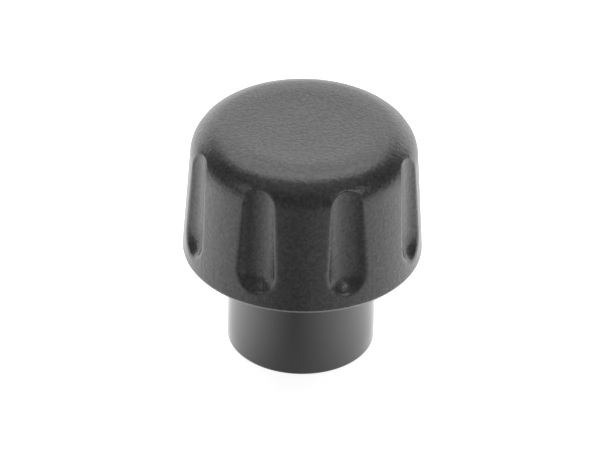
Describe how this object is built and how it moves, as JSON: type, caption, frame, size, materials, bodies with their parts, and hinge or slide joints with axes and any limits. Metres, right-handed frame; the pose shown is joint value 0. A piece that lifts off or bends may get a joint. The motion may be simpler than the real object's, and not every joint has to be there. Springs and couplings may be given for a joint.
{
  "type": "fluted knob",
  "caption": "Black moulded grip knob: a tapered round head with ball-ended finger flutes on a plain hub, with a threaded metal bush for a screw or stud.",
  "frame": {"origin": "middle of the hub's end face, where the knob stands", "axes": "+Z along the knob's axis, from the hub to the top of the head; a land between two flutes faces -Y"},
  "size_m": [0.025, 0.025, 0.0258],
  "materials": {
    "moulded_plastic": "moulded black thermoplastic, fine grain on the head, smoother on the hub",
    "turned_brass": "turned, uncoated"
  },
  "bodies": {
    "root": {"knob_body": "moulded_plastic", "threaded_bush": "turned_brass"}
  },
  "joints": []
}
